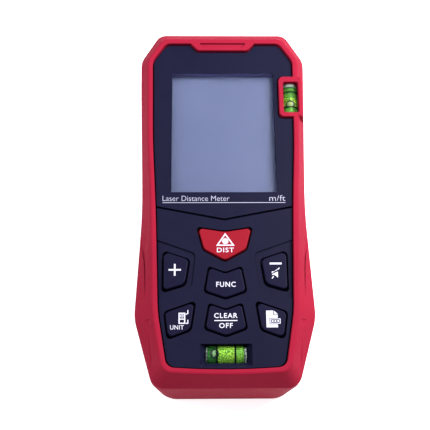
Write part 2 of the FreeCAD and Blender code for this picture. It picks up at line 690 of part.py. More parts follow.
def vial_liquid():
    """Liquid with the free space along its top in which the bubble runs."""
    reach, floor = BUBBLE_TRAVEL + BUBBLE_R + 0.05, VIAL_BORE - BUBBLE_RISE - 0.05
    run = box((-reach, -BUBBLE_R - 0.05, floor), (reach, BUBBLE_R + 0.05, VIAL_R))
    return less(rod_x(VIAL_BORE, PLUG - VIAL_HALF, VIAL_HALF - PLUG), run)


def vial_bubble(offset):
    column = rod(offset, 0, BUBBLE_R, VIAL_BORE - BUBBLE_RISE, VIAL_R)
    return column.common(rod_x(VIAL_BORE - 0.04, -VIAL_HALF, VIAL_HALF))


def vial_nodes(name, at, turn, bubble_offset):
    pieces = {
        "tube": [vial_tube()],
        "liquid": [vial_liquid()],
        "bubble": [vial_bubble(bubble_offset)],
        "marks": vial_marks(),
        "plugs": vial_plugs(),
    }
    return {f"{name}_{piece}": [placed(s, at, turn) for s in solids] for piece, solids in pieces.items()}


# ---- power ----
def cell(side):
    """One AAA cell with its positive nub; the two cells lie head to tail."""
    x, y0, y1 = side * CELL_X, BAY[0][1] + PLATE, BAY[1][1] - PLATE
    if side < 0:
        shoulder = y1 - NUB
        can = rod_y(x, CELL_Z, CELL_R, shoulder - CELL_BODY, shoulder)
        return joined(can, rod_y(x, CELL_Z, NUB_R, shoulder, y1))
    shoulder = y0 + NUB
    can = rod_y(x, CELL_Z, CELL_R, shoulder, shoulder + CELL_BODY)
    return joined(can, rod_y(x, CELL_Z, NUB_R, y0, shoulder))


def battery_spring(side):
    """Contact spring at a cell's flat end: three turns of wire, each a ring with a link to the next."""
    x = side * CELL_X
    y0 = BAY[0][1] + PLATE if side < 0 else BAY[1][1] - PLATE - SPRING
    pitch = (SPRING - 2 * SPRING_WIRE) / 2
    turns = []
    for i in range(3):
        y = y0 + SPRING_WIRE + i * pitch
        turns.append(Part.makeTorus(SPRING_R, SPRING_WIRE, V(x, y, CELL_Z), V(0, 1, 0)))
        if i < 2:
            turns.append(rod_y(x, CELL_Z + SPRING_R * (-1) ** i, SPRING_WIRE * 0.9, y, y + pitch))
    return joined(*turns)


def battery_bridge():
    (x0, y0, _), (x1, _, _) = BAY
    return box((x0 + 1, y0, CELL_Z - 4.7), (x1 - 1, y0 + PLATE, CELL_Z + 4.7))


def terminal_tails(room):
    y, half = BAY[1][1], 0.5 + room
    return [box((x - half, y - PLATE - room, CELL_Z), (x + half, y, BOARD_Z[0])) for x in (CELL_X, -CELL_X)]


def battery_terminals():
    y = BAY[1][1]
    plates = [box((side * CELL_X - 4.4, y - PLATE, CELL_Z - 4.7), (side * CELL_X + 4.4, y, CELL_Z + 4.7))
              for side in (1, -1)]
    return [joined(plate, tail) for plate, tail in zip(plates, terminal_tails(0))]


# ---- optics ----
def optics_bench():
    """Carrier of the laser and the receiver: base plate, two barrels and the wall behind the bezel."""
    y0, y1 = BENCH_Y
    top = OPTIC_Z + RECEIVER_TUBE_R
    plate = box((-BENCH_X, y0, BENCH_FOOT), (BENCH_X, y1, BENCH_FOOT + BENCH_PLATE))
    wall = box((-BENCH_X, y1 - 2.4, BENCH_FOOT), (BENCH_X, y1, top))
    receiver = rod_y(RECEIVER_X, OPTIC_Z, RECEIVER_TUBE_R, SENSOR_Y + 2.0, y1)
    laser = rod_y(LASER_X, OPTIC_Z, LASER_TUBE_R, DIODE_Y, y1)
    body = joined(plate, wall, receiver, laser)
    lens_seat = rod_y(RECEIVER_X, OPTIC_Z, LENS_R, LENS_Y, y1)
    light_path = rod_y(RECEIVER_X, OPTIC_Z, 5.4, SENSOR_Y + 6.0, LENS_Y)
    sensor_seat = rod_y(RECEIVER_X, OPTIC_Z, SENSOR_R, SENSOR_Y, SENSOR_Y + 6.0)
    barrel_seat = rod_y(LASER_X, OPTIC_Z, BARREL_R, DIODE_Y, y1)
    body = less(body, lens_seat, light_path, sensor_seat, barrel_seat)
    foot = BENCH_FOOT
    return less(body, *(rod(x, y, SCREW_R + 0.1, foot, foot + BENCH_PLATE) for x, y in BENCH_SCREWS))


def receiver_lens():
    """Plano-convex lens, its flat side towards the sensor."""
    bulge = Part.makeSphere(16.0, V(RECEIVER_X, LENS_Y + 3.0 - 16.0, OPTIC_Z))
    return bulge.common(rod_y(RECEIVER_X, OPTIC_Z, LENS_R, LENS_Y, LENS_Y + 3.0))


def receiver_filter():
    return rod_y(RECEIVER_X, OPTIC_Z, SENSOR_R, SENSOR_Y + 4.6, SENSOR_Y + 5.4)


def receiver_sensor():
    return joined(rod_y(RECEIVER_X, OPTIC_Z, SENSOR_R, SENSOR_Y, SENSOR_Y + 3.2),
                  rod_y(RECEIVER_X, OPTIC_Z, SENSOR_R + 0.4, SENSOR_Y - 0.5, SENSOR_Y))


def sensor_board():
    low, high = BENCH_FOOT + BENCH_PLATE, OPTIC_Z + RECEIVER_TUBE_R
    return box((RECEIVER_X - 4.8, SENSOR_Y - 1.5, low), (RECEIVER_X + 4.8, SENSOR_Y - 0.5, high))


def laser_barrel():
    return less(rod_y(LASER_X, OPTIC_Z, BARREL_R, DIODE_Y, BARREL_END_Y),
                rod_y(LASER_X, OPTIC_Z, COLLIMATOR_R, DIODE_Y, BARREL_END_Y))


def laser_diode():
    return joined(rod_y(LASER_X, OPTIC_Z, 2.8, DIODE_Y - 1.2, DIODE_Y),
                  rod_y(LASER_X, OPTIC_Z, 1.8, DIODE_Y, DIODE_Y + 2.4))


def collimator():
    return rod_y(LASER_X, OPTIC_Z, COLLIMATOR_R, BARREL_END_Y - 2.6, BARREL_END_Y - 0.6)


def eye(x, radius, low, high):
    return rod_y(x, OPTIC_Z, radius, low, high)


def nose_bezel():
    x, (low, high) = NOSE_X, NOSE_Z
    y0, y1 = BENCH_Y[1], HALF_LENGTH - NOSE_RECESS
    block = box((-x, y0, low), (x, y1, high))
    block = block.makeFillet(1.6, [e for e in block.Edges if e.BoundBox.YLength > 3])
    return less(block, eye(RECEIVER_X, EYE_R - 0.7, y0, y1), eye(RECEIVER_X, EYE_R, y1 - 1.4, y1),
                eye(LASER_X, LASER_EYE_R - 0.6, y0, y1), eye(LASER_X, LASER_EYE_R, y1 - 1.4, y1))


def nose_window(x, radius):
    y1 = HALF_LENGTH - NOSE_RECESS
    return eye(x, radius, y1 - 1.4, y1 - 0.4)


# ---- fasteners ----
def screw(x, y, head_low, head_high, tip, head_r):
    """Pan-head screw with a cross recess; the head is at the low end when the tip is above it."""
    upwards = tip > head_high
    start, face = (head_high, head_low) if upwards else (head_low, head_high)
    shank = rod(x, y, SCREW_R, min(start, tip), max(start, tip))
    solid = joined(rod(x, y, head_r, head_low, head_high), shank)
    low, high = (face, face + 0.7) if upwards else (face - 0.7, face)
    cross = [box((x - 1.1, y - 0.22, low), (x + 1.1, y + 0.22, high)),
             box((x - 0.22, y - 1.1, low), (x + 0.22, y + 1.1, high))]
    return less(solid, *cross)


def case_screws():
    return [screw(x, y, *HEAD_Z, SEAM_Z + 5, HEAD_R) for x, y in mirrored_places(CASE_SCREWS)]


def board_screws():
    low = BOARD_Z[0]
    return [screw(x, y, low - 1.2, low, BOARD_Z[1] + 3, HEAD_R) for x, y in mirrored_places(BOARD_SCREWS)]


def bench_screws():
    top = BENCH_FOOT + BENCH_PLATE
    return [screw(x, y, top, top + 1.2, BENCH_FOOT - 2.4, HEAD_R) for x, y in BENCH_SCREWS]


def tripod_insert():
    x, y = INSERT_AT
    return less(rod(x, y, INSERT_R, BACK_Z, BACK_Z + INSERT_DEPTH),
                rod(x, y, INSERT_BORE, BACK_Z, BACK_Z + INSERT_DEPTH - 0.8))


# ---- output ----
def nodes():
    parts = {
        "front_jacket": [front_jacket()],
        "front_housing": [front_housing()],
        "display_lens": [display_lens()],
        "rear_jacket": [rear_jacket()],
        "rear_housing": [rear_housing()],
        "battery_door": [battery_door()],
        "lanyard_post": [lanyard_post()],
        "keypad_mat": [keypad_mat()],
        "key_domes": key_domes(),
        "main_board": [main_board()],
        "board_chips": board_chips(),
        "buzzer": [buzzer()],
        "lcd_frame": [lcd_frame()],
        "lcd_panel": [lcd_panel()],
        "lcd_backlight": [lcd_backlight()],
        "lcd_connector": [lcd_connector()],
        "battery_cell_left": [cell(-1)],
        "battery_cell_right": [cell(1)],
        "battery_springs": [battery_spring(-1), battery_spring(1)],
        "battery_bridge": [battery_bridge()],
        "battery_terminals": battery_terminals(),
        "optics_bench": [optics_bench()],
        "receiver_lens": [receiver_lens()],
        "receiver_filter": [receiver_filter()],
        "receiver_sensor": [receiver_sensor()],
        "sensor_board": [sensor_board()],
        "laser_barrel": [laser_barrel()],
        "laser_diode": [laser_diode()],
        "laser_collimator": [collimator()],
        "nose_bezel": [nose_bezel()],
        "receiver_window": [nose_window(RECEIVER_X, EYE_R)],
        "laser_window": [nose_window(LASER_X, LASER_EYE_R)],
        "case_screws": case_screws(),
        "board_screws": board_screws(),
        "bench_screws": bench_screws(),
        "tripod_insert": [tripod_insert()],
    }
    for name, points, setbacks in keys():
        parts[name] = [key_cap(points, setbacks)]
    parts.update(vial_nodes("bottom_vial", BOTTOM_VIAL, 0, BOTTOM_BUBBLE_AT))
    parts.update(vial_nodes("side_vial", SIDE_VIAL, 90, SIDE_BUBBLE_AT))
    return parts


os.makedirs("parts", exist_ok=True)
for node_name, solids in nodes().items():
    shape = solids[0] if len(solids) == 1 else Part.makeCompound(solids)
    shape.exportStep(f"parts/{node_name}.step")
    print(f"{node_name}: {len(shape.Solids)} solids, valid {shape.isValid()}, {shape.Volume:.1f} mm3")
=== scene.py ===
import json
import math

import bmesh
import bpy
from mathutils import Matrix, Vector


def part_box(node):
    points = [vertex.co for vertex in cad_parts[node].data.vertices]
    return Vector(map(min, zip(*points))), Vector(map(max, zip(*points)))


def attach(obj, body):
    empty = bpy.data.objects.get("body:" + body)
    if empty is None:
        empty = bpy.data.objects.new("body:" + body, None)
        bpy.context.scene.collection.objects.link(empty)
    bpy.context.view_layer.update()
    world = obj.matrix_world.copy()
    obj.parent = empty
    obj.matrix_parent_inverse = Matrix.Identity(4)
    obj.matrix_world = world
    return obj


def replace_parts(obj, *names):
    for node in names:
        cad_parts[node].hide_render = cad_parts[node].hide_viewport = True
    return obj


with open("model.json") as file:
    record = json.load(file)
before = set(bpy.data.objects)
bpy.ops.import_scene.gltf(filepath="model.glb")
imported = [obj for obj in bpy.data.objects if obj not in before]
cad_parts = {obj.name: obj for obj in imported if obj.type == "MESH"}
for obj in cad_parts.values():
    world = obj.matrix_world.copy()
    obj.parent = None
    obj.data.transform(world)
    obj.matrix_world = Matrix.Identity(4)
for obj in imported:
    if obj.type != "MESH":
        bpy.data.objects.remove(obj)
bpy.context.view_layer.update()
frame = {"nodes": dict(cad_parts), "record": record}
NODES = frame["nodes"]
MM = 0.001


# ---- places taken from the frame ----
def low(node):
    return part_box(node)[0]


def high(node):
    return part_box(node)[1]


def middle(node):
    lowest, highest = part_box(node)
    return (Vector(lowest) + Vector(highest)) / 2


PANEL_Z = high("display_lens")[2]
KEY_TOP_Z = high("measure_key")[2]
PRINT = 0.03 * MM           # how far printed marks stand on a surface


# ---- material nodes ----
NOISE_LOW, NOISE_HIGH = 0.3, 0.7        # most of a noise texture's values lie between these


class Nodes:
    """One material's node tree, with the few kinds of node that the finishes use."""

    def __init__(self, name):
        self.material = bpy.data.materials.new(name)
        self.material.use_nodes = True
        self.tree = self.material.node_tree
        self.shader = self.tree.nodes["Principled BSDF"]
        self.place = self.add("ShaderNodeTexCoord").outputs["Object"]

    def add(self, kind):
        return self.tree.nodes.new(kind)

    def link(self, source, target):
        self.tree.links.new(source, target)

    def set(self, **values):
        for key, value in values.items():
            self.shader.inputs[key.replace("_", " ")].default_value = value

    def noise(self, scale, detail=3.0, rough=0.55, stretch=None):
        node = self.add("ShaderNodeTexNoise")
        node.inputs["Scale"].default_value = scale
        node.inputs["Detail"].default_value = detail
        node.inputs["Roughness"].default_value = rough
        place = self.place
        if stretch:
            mapping = self.add("ShaderNodeMapping")
            mapping.inputs["Scale"].default_value = stretch
            self.link(place, mapping.inputs["Vector"])
            place = mapping.outputs["Vector"]
        self.link(place, node.inputs["Vector"])
        return node.outputs["Fac"]

    def ramp(self, value, *stops):
        node = self.add("ShaderNodeValToRGB")
        elements = node.color_ramp.elements
        while len(elements) < len(stops):
            elements.new(0.5)
        for element, (at, colour) in zip(elements, stops):
            element.position = at
            element.color = (*colour, 1.0)
        self.link(value, node.inputs["Fac"])
        return node.outputs["Color"]

    def map_range(self, value, start, stop):
        node = self.add("ShaderNodeMapRange")
        node.inputs["From Min"].default_value = start
        node.inputs["From Max"].default_value = stop
        self.link(value, node.inputs["Value"])
        return node

    def spread(self, value, least, most):
        node = self.map_range(value, NOISE_LOW, NOISE_HIGH)
        node.inputs["To Min"].default_value = least
        node.inputs["To Max"].default_value = most
        return node.outputs["Result"]

    def colour(self, value, dark, light):
        mixed = self.ramp(value, (NOISE_LOW, dark), (NOISE_HIGH, light))
        self.link(mixed, self.shader.inputs["Base Color"])

    def roughness(self, value, least, most):
        self.link(self.spread(value, least, most), self.shader.inputs["Roughness"])

    def bump(self, height, strength, distance):
        node = self.add("ShaderNodeBump")
        node.inputs["Strength"].default_value = strength
        node.inputs["Distance"].default_value = distance
        self.link(height, node.inputs["Height"])
        self.link(node.outputs["Normal"], self.shader.inputs["Normal"])


# ---- kinds of finish ----
def moulded(name, dark, light, rough, grain, depth, mottle=90.0, **settings):
    """Moulded plastic or rubber: a slow change of colour, uneven gloss and a fine grain, its depth in mm."""
    n = Nodes(name)
    n.colour(n.noise(mottle), dark, light)
    n.roughness(n.noise(mottle * 4.0), rough - 0.05, rough + 0.05)
    n.bump(n.noise(grain, detail=2.0), strength=0.35, distance=depth * MM)
    n.set(**settings)
    return n.material


def liquid_with_painted_glow(name, axis, start, length, painted_light_bands, grain, painted_glow):
    """Fluorescent liquid with painted light. How bright it may be along an axis is painted light and shade;
    its emission is partly painted light that lifts its shaded sides, and grains of it shine brighter still.
    """
    n = Nodes(name)
    separate = n.add("ShaderNodeSeparateXYZ")
    n.link(n.place, separate.inputs["Vector"])
    along = n.map_range(separate.outputs[axis], start, start + length)
    # how bright the liquid may be along the axis: painted light and shade
    painted_brightness = n.ramp(along.outputs["Result"], *((at, (level,) * 3) for at, level in painted_light_bands))
    grains = n.map_range(n.noise(grain, detail=2.0, rough=0.7), 0.34, 0.62)
    n.link(painted_brightness, grains.inputs["To Max"])
    colour = n.ramp(grains.outputs["Result"], (0.0, DEEP_GREEN), (0.45, MID_GREEN), (1.0, LIME))
    n.link(colour, n.shader.inputs["Base Color"])
    n.link(colour, n.shader.inputs["Emission Color"])
    n.roughness(n.noise(600.0), 0.45, 0.6)
    # the emission is partly painted light, lifting the liquid's shaded sides
    n.set(Emission_Strength=painted_glow, Specular_IOR_Level=0.1)
    return n.material


def metal(name, dark, light, rough):
    """Brushed metal, with streaks across Z."""
    n = Nodes(name)
    brushed = n.noise(900.0, stretch=(1.0, 1.0, 12.0))
    n.colour(brushed, dark, light)
    n.roughness(brushed, rough - 0.06, rough + 0.08)
    n.bump(brushed, strength=0.1, distance=0.02 * MM)
    n.set(Metallic=1.0)
    return n.material


def clear(name, tint, rough, ior):
    """Clear glass or plastic with a trace of haze."""
    n = Nodes(name)
    haze = n.noise(60.0)
    n.colour(haze, tint, tuple(channel * 0.99 for channel in tint))
    n.roughness(haze, rough, rough + 0.02)
    n.set(IOR=ior, Transmission_Weight=1.0)
    return n.material


# ---- case and keys ----
RED_RUBBER = moulded(
    "red_rubber", (0.246, 0.0095, 0.0270), (0.264, 0.0108, 0.0294),
    rough=0.60, grain=2600.0, depth=0.03, Specular_IOR_Level=0.015)
NAVY = moulded(
    "navy_plastic", (0.0061, 0.0062, 0.0198), (0.0068, 0.0070, 0.0214),
    rough=0.45, grain=3800.0, depth=0.012, Specular_IOR_Level=0.04)
NAVY_KEY = moulded(
    "navy_key", (0.0054, 0.0050, 0.0190), (0.0061, 0.0057, 0.0205),
    rough=0.42, grain=3200.0, depth=0.012, Specular_IOR_Level=0.05)
RED_KEY = moulded(
    "red_key", (0.208, 0.0060, 0.0140), (0.222, 0.0068, 0.0156),
    rough=0.45, grain=3200.0, depth=0.012, Specular_IOR_Level=0.05)
BLACK = moulded(
    "black_plastic", (0.010, 0.010, 0.012), (0.016, 0.016, 0.019),
    rough=0.48, grain=2400.0, depth=0.02, Specular_IOR_Level=0.15)
INK = moulded(
    "white_ink", (0.50, 0.50, 0.58), (0.56, 0.56, 0.64),
    rough=0.55, grain=4000.0, depth=0.005)
PALE_INK = moulded(
    "pale_ink", (0.31, 0.31, 0.43), (0.37, 0.37, 0.49),
    rough=0.55, grain=4000.0, depth=0.005)

# ---- display ----
CLEAR = clear("clear_acrylic", (0.97, 0.98, 1.0), rough=0.0, ior=1.06)
LCD = moulded(
    "display_glass", (0.088, 0.104, 0.182), (0.092, 0.108, 0.188),
    rough=0.35, grain=900.0, depth=0.004, mottle=40.0, Specular_IOR_Level=0.2)
DISPLAY_EDGE = moulded(
    "display_edge", (0.110, 0.105, 0.245), (0.120, 0.115, 0.265),
    rough=0.5, grain=900.0, depth=0.004, Specular_IOR_Level=0.1)

# ---- inside and back ----
WHITE = moulded(
    "white_plastic", (0.70, 0.71, 0.70), (0.80, 0.81, 0.80),
    rough=0.35, grain=2400.0, depth=0.01)
GREY_RUBBER = moulded(
    "grey_rubber", (0.012, 0.012, 0.02), (0.02, 0.02, 0.03),
    rough=0.6, grain=1800.0, depth=0.02)
BOARD = moulded(
    "green_board", (0.006, 0.10, 0.035), (0.012, 0.15, 0.05),
    rough=0.3, grain=1200.0, depth=0.01, mottle=500.0)
CHIP = moulded(
    "black_chip", (0.008, 0.008, 0.008), (0.014, 0.014, 0.014),
    rough=0.55, grain=3000.0, depth=0.01)
CELL_CAN = moulded(
    "cell_can", (0.20, 0.21, 0.23), (0.30, 0.31, 0.34),
    rough=0.3, grain=900.0, depth=0.01, Metallic=0.7)
STEEL = metal("steel", (0.50, 0.50, 0.52), (0.66, 0.66, 0.68), rough=0.3)
BRASS = metal("brass", (0.58, 0.40, 0.16), (0.74, 0.54, 0.24), rough=0.28)
LENS_GLASS = clear("lens_glass", (0.90, 0.94, 1.0), rough=0.0, ior=1.52)
FILTER = clear("filter_glass", (0.55, 0.02, 0.04), rough=0.02, ior=1.52)

# ---- spirit vials ----
# the liquid's greens, from darkest to brightest, follow its grain and its painted light and shade along the
# vial
DEEP_GREEN = (0.004, 0.060, 0.014)
MID_GREEN = (0.085, 0.250, 0.025)
LIME = (0.38, 0.56, 0.040)
VIAL_GLASS = clear("vial_glass", (0.96, 1.0, 0.97), rough=0.25, ior=1.04)
BUBBLE = clear("bubble", (0.86, 0.97, 0.55), rough=0.02, ior=1.05)
PLUG = moulded(
    "vial_plug", (0.10, 0.17, 0.13), (0.52, 0.56, 0.53),
    rough=0.5, grain=900.0, depth=0.01, mottle=900.0)
# painted shade: a darker copy of the plug colour, used in the bottom vial
SHADED_PLUG = moulded(
    "vial_shaded_plug", (0.015, 0.045, 0.030), (0.26, 0.30, 0.28),
    rough=0.5, grain=900.0, depth=0.01, mottle=1500.0)
MARK = moulded(
    "vial_mark", (0.002, 0.004, 0.004), (0.004, 0.008, 0.006),
    rough=0.6, grain=900.0, depth=0.004, Specular_IOR_Level=0.05)
# painted shade: a near-black ring placed at the bubble's edge, where the bubble shows dark
PAINTED_RIM_SHADE = moulded(
    "bubble_rim_shade", (0.001, 0.014, 0.007), (0.002, 0.024, 0.010),
    rough=0.3, grain=900.0, depth=0.01)
PALE_AIR = moulded(
    "pale_air", (0.12, 0.18, 0.045), (0.24, 0.29, 0.09),
    rough=0.3, grain=900.0, depth=0.01, mottle=900.0)
# painted shade: a darker copy of the bubble's air, used in the bottom vial
SHADED_AIR = moulded(
    "shaded_air", (0.02, 0.08, 0.03), (0.16, 0.26, 0.12),
    rough=0.3, grain=900.0, depth=0.01, mottle=900.0)
# bottom vial: painted shade at its low end along X, painted light along its middle
BOTTOM_LIQUID = liquid_with_painted_glow(
    "bottom_liquid", "X", start=-5.1 * MM, length=10.2 * MM,
    painted_light_bands=[(0.0, 0.10), (0.21, 0.16), (0.25, 0.86), (0.74, 0.86), (0.78, 0.70), (1.0, 0.60)],
    grain=3000.0, painted_glow=0.15)
# side vial: painted streaks of light and shade along the vial
SIDE_LIQUID = liquid_with_painted_glow(
    "side_liquid", "Y", start=middle("side_vial_tube").y - 5.1 * MM, length=9.8 * MM,
    painted_light_bands=[(0.0, 0.25), (0.12, 0.60), (0.18, 0.45), (0.23, 0.45), (0.25, 1.0), (0.58, 1.0), (0.60, 0.25),
           (0.63, 0.50), (0.72, 0.55), (0.80, 0.18), (0.90, 0.42), (0.97, 0.10)],
    grain=1600.0, painted_glow=0.15)

FINISH = {
    "red_rubber": RED_RUBBER, "navy_plastic": NAVY, "red_plastic": RED_KEY, "clear_acrylic": CLEAR,
    "black_plastic": BLACK, "steel": STEEL, "brass": BRASS, "grey_rubber": GREY_RUBBER,
    "green_board": BOARD, "black_chip": CHIP, "white_plastic": WHITE, "display_glass": LCD,
    "cell_can": CELL_CAN, "lens_glass": LENS_GLASS, "filter_glass": FILTER, "vial_liquid": BOTTOM_LIQUID,
    "bubble": BUBBLE,
}


def paint(piece, material):
    piece.data.materials.clear()
    piece.data.materials.append(material)


def paint_frame():
    for entry in frame["record"]["subparts"]:
        paint(NODES[entry["node"]], FINISH[entry["material_slot"]])
    for name in ("plus_key", "minus_key", "unit_key", "memory_key", "function_key", "clear_key"):
        paint(NODES[name], NAVY_KEY)


# ---- pieces ----
def linked(name, data):
    piece = bpy.data.objects.new(name, data)
    bpy.context.scene.collection.objects.link(piece)
    return piece


def made_mesh(name, build):
    """Mesh that build(bm) fills."""
    bm = bmesh.new()
    build(bm)
    mesh = bpy.data.meshes.new(name)
    bm.to_mesh(mesh)
    bm.free()
    return mesh


def dressed(piece, body, material):
    paint(piece, material)
    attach(piece, body)
    return piece


def add_piece(name, build, body, material):
    """A piece whose mesh build(bm) makes, riding on a body and painted with the given material."""
    return dressed(linked(name, made_mesh(name, build)), body, material)


def evaluated_mesh(piece):
    """What a text or a modified piece looks like, as a plain mesh."""
    bpy.context.view_layer.update()
    return bpy.data.meshes.new_from_object(piece.evaluated_get(bpy.context.evaluated_depsgraph_get()))


def smooth(piece):
    piece.data.polygons.foreach_set("use_smooth", [True] * len(piece.data.polygons))
    return piece


def turn_angles(count):
    return [2 * math.pi * i / count for i in range(count)]


def bridge(bm, one, following):
    """Faces between two rings of points; a ring of one point is a tip."""
    count = max(len(one), len(following))
    for i in range(count):
        k = (i + 1) % count
        corners = [one[i % len(one)], one[k % len(one)],
                   following[k % len(following)], following[i % len(following)]]
        bm.faces.new(tuple(dict.fromkeys(corners)))


def faces_outwards(bm):
    bmesh.ops.recalc_face_normals(bm, faces=bm.faces)


# ---- outlines, as lists of (x, y) points ----
def bar(x0, y0, x1, y1):
    return [(x0, y0), (x1, y0), (x1, y1), (x0, y1)]


def frame_ring(x0, y0, x1, y1, width):
    return bar(x0, y0, x1, y1), bar(x0 + width, y0 + width, x1 - width, y1 - width)


def stroke(a, b, width):
    """Rectangle of a width along the line from a to b."""
    along = (Vector(b) - Vector(a)).normalized() * width / 2
    side = Vector((-along.y, along.x))
    return [tuple(Vector(p) + s) for p, s in ((a, -side), (b, -side), (b, side), (a, side))]


def star(x, y, radii, count=48):
    """Closed outline round a centre, with the radii taken in turn."""
    return [(x + radii[i % len(radii)] * math.cos(angle), y + radii[i % len(radii)] * math.sin(angle))
            for i, angle in enumerate(turn_angles(count))]


def cross(x, y, reach, half):
    quarter = [(reach, -half), (reach, half), (half, half)]
    turns = [quarter]
    for _ in range(3):
        turns.append([(-b, a) for a, b in turns[-1]])
    return [(x + a, y + b) for turn in turns for a, b in turn]


def rounded(x0, y0, x1, y1, radius, count=6):
    """Rectangle with arcs at its corners."""
    points = []
    for cx, cy, start in ((x1 - radius, y0 + radius, -90), (x1 - radius, y1 - radius, 0),
                          (x0 + radius, y1 - radius, 90), (x0 + radius, y0 + radius, 180)):
        for i in range(count + 1):
            angle = math.radians(start + 90 * i / count)
            points.append((cx + radius * math.cos(angle), cy + radius * math.sin(angle)))
    return points


def in_mm(outline):
    return [(x * MM, y * MM) for x, y in outline]


# ---- flat solids ----
def plate(bm, outline, z, thickness=PRINT):
    """Thin solid over a closed outline."""
    face = bm.faces.new([bm.verts.new((x, y, z)) for x, y in outline])
    if face.normal.z < 0:
        face.normal_flip()
    raised = bmesh.ops.extrude_face_region(bm, geom=[face])
    new = [v for v in raised["geom"] if isinstance(v, bmesh.types.BMVert)]
    bmesh.ops.translate(bm, verts=new, vec=(0, 0, thickness))


def ring_plate(bm, outer, inner, z, thickness=PRINT):
    """Thin solid between an outline and a smaller one with as many points."""
    levels = ((outer, z), (outer, z + thickness), (inner, z + thickness), (inner, z))
    rings = [[bm.verts.new((x, y, height)) for x, y in outline] for outline, height in levels]
    for one, following in zip(rings, rings[1:] + rings[:1]):
        bridge(bm, one, following)
    faces_outwards(bm)


def flat_block(name, outline, z, thickness):
    """Upright block over an outline, all in millimetres, not yet part of the model."""
    def build(bm):
        plate(bm, in_mm(outline), z * MM, thickness * MM)
        faces_outwards(bm)
    return linked(name, made_mesh(name, build))


# ---- print ----
FINE, BOLD = -0.012, 0.014              # how much the strokes of letters are thinned or thickened
CLOSE, WIDE = 1.0, 1.16                 # spacing of letters


def words_mesh(text, weight, spacing):
    """Letters as a thin flat mesh."""
    curve = bpy.data.curves.new("words", "FONT")
    curve.body = text
    curve.size = 1.0
    curve.offset = weight
    curve.space_character = spacing
    curve.extrude = PRINT / 2
    curve.resolution_u = 4
    source = linked("words_source", curve)
    mesh = evaluated_mesh(source)
    bpy.data.objects.remove(source)
    return mesh


def fitted(mesh, x0, y0, x1, y1, z):
    """Scales and moves a flat mesh into a rectangle given in millimetres."""
    xs = [v.co.x for v in mesh.vertices]
    ys = [v.co.y for v in mesh.vertices]
    wide = (x1 - x0) * MM / (max(xs) - min(xs))
    tall = (y1 - y0) * MM / (max(ys) - min(ys))
    scale = Matrix.Diagonal((wide, tall, 1.0, 1.0))
    corner = Vector((x0 * MM - min(xs) * wide, y0 * MM - min(ys) * tall, z))
    mesh.transform(Matrix.Translation(corner) @ scale)
    return mesh


def printed_words(name, text, place, z, body, weight=BOLD, spacing=WIDE, material=INK):
    mesh = fitted(words_mesh(text, weight, spacing), *place, z + PRINT / 2)
    dressed(linked(name, mesh), body, material)


def printed_shapes(name, outlines, z, body, rings=(), material=INK):
    """Flat printed shapes and (outer, inner) rings; outlines are in millimetres and do not overlap."""
    def build(bm):
        for outline in outlines:
            plate(bm, in_mm(outline), z)
        for outer, inner in rings:
            ring_plate(bm, in_mm(outer), in_mm(inner), z)
    add_piece(name, build, body, material)


def print_panel():
    left, right = -19.1, 18.95
    line = bar(left, -2.80, right, -2.62)
    foot = -2.15
    words = (left, foot, 1.6, -0.45)
    units = (14.0, foot, right, -0.25)
    printed_shapes("panel_line", [line], PANEL_Z, "case", material=PALE_INK)
    printed_words("panel_words", "Laser Distance Meter", words, PANEL_Z, "case", FINE, CLOSE, PALE_INK)
    printed_words("panel_units", "m/ft", units, PANEL_Z, "case", FINE, CLOSE, PALE_INK)


def print_measure_key():
    """Triangle with a star-shaped dot."""
    z, body = KEY_TOP_Z, "measure_key"
    outer = [(0.12, -12.85), (-2.7, -16.97), (2.95, -16.97)]
    inner = [(0.12, -13.6), (-1.95, -16.58), (2.2, -16.58)]
    dot = star(0.12, -15.5, (0.95, 0.8, 1.22, 0.8))
    printed_shapes("measure_sign", [dot], z, body, [(outer, inner)])
    printed_words("measure_word", "DIST", (-2.45, -19.05, 2.7, -17.55), z, body)


def print_plus_key():
    printed_shapes("plus_sign", [cross(-15.16, -24.54, 1.85, 0.25)], KEY_TOP_Z, "plus_key")


def print_minus_key():
    """Minus sign with a struck-out loudspeaker under it."""
    x, y = 15.1, -25.65
    minus = bar(13.42, -22.93, 17.03, -22.35)
    horn = [(-1.15, -0.55), (-0.35, -0.55), (0.7, -1.4), (0.7, 0.5), (-0.95, -0.25)]
    wing = [(-1.15, 0.0), (0.55, 0.95), (0.7, 1.4), (-0.35, 0.55), (-1.15, 0.5)]
    speaker = [[(x + a, y + b) for a, b in outline] for outline in (horn, wing)]
    strike = [stroke((x + 0.75, y + 1.1), (x + 1.2, y + 1.7), 0.3),
              stroke((x - 1.1, y - 1.7), (x - 0.65, y - 0.95), 0.3)]
    printed_shapes("minus_sign", [minus] + speaker + strike, KEY_TOP_Z, "minus_key")


def print_function_key():
    printed_words("function_word", "FUNC", (-2.75, -29.9, 3.05, -28.3), KEY_TOP_Z, "function_key")


def print_clear_key():
    z, body = KEY_TOP_Z, "clear_key"
    printed_words("clear_word", "CLEAR", (-3.45, -39.4, 3.45, -37.9), z, body)
    printed_words("off_word", "OFF", (-2.0, -42.4, 2.0, -40.9), z, body)
    printed_shapes("clear_line", [bar(-3.4, -40.3, 3.4, -40.02)], z, body)


def print_unit_key():
    """Word and a small outline of a meter with a bracket over its length."""
    z, body = KEY_TOP_Z, "unit_key"
    printed_words("unit_word", "UNIT", (-16.4, -42.8, -12.4, -41.5), z, body, 0.006, 1.08)
    meter = frame_ring(-13.95, -41.1, -11.95, -37.75, 0.36)
    display = frame_ring(-13.4, -39.15, -12.5, -38.3, 0.22)
    key = bar(-13.59, -39.85, -12.31, -39.5)
    left, inner, outer = -11.85, -11.35, -11.05
    upper = [(left, -38.4), (outer, -38.1), (outer, -36.95), (inner, -36.95), (inner, -37.9), (left, -38.1)]
    lower = [(left, -41.1), (outer, -41.1), (outer, -39.9), (inner, -39.9), (inner, -40.8), (left, -40.8)]
    printed_shapes("unit_sign", [key, upper, lower], z, body, [meter, display])


